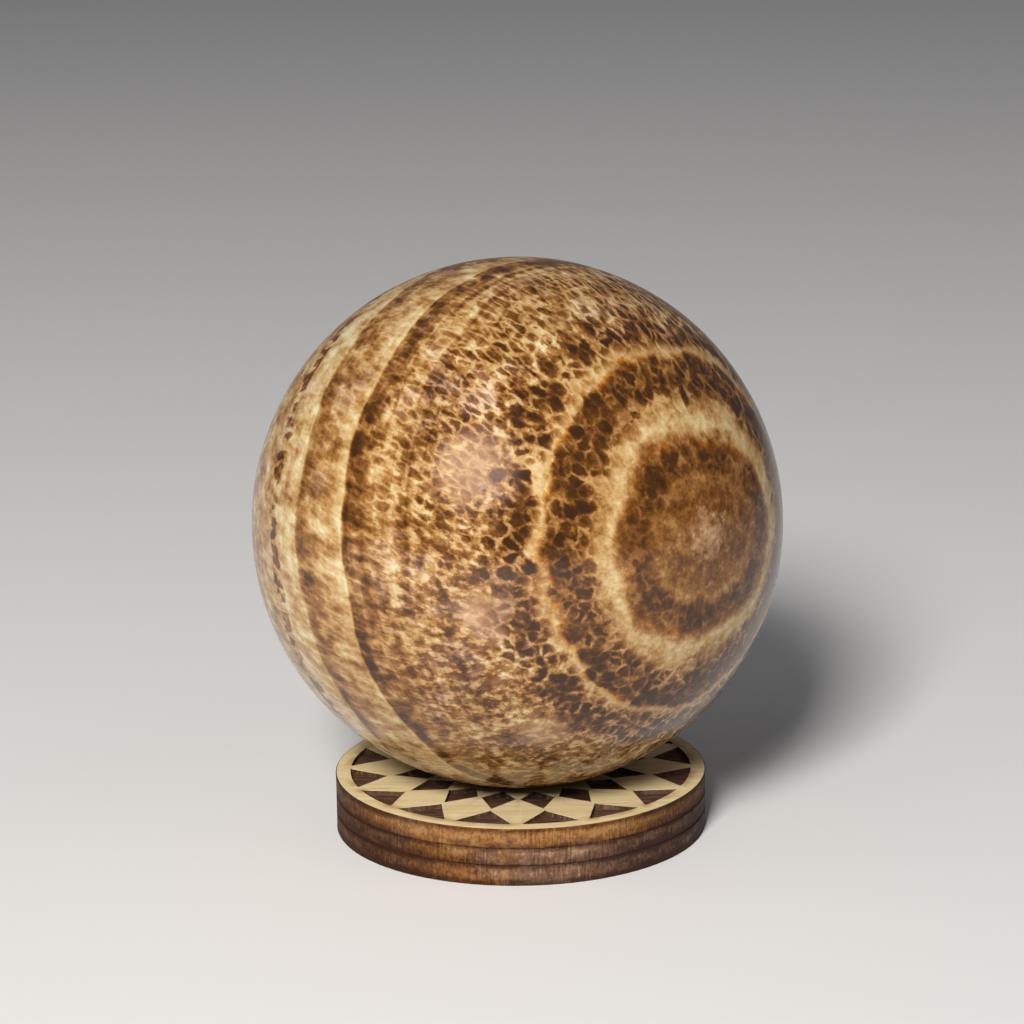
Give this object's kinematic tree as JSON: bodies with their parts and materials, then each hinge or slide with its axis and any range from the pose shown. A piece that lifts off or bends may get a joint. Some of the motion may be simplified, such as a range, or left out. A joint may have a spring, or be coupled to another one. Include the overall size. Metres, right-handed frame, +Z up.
{
  "type": "decorative stone sphere on stand",
  "caption": "Polished ball of banded brown calcite resting in the seat hole of a small round laser-cut plywood stand with an engraved rosette.",
  "frame": {"origin": "centre of the stand's underside, on the surface that the stand rests on", "axes": "+Z up along the common axis of the ball and the stand, -Y to the front, where a light diamond of the rosette points; the growth axis of the stone's bands leans to the front right"},
  "size_m": [0.0564, 0.0564, 0.0618],
  "materials": {
    "banded_calcite": "polished",
    "burnt_plywood": "matte"
  },
  "bodies": {
    "root": {"sphere": "banded_calcite", "stand": "burnt_plywood"}
  },
  "joints": []
}
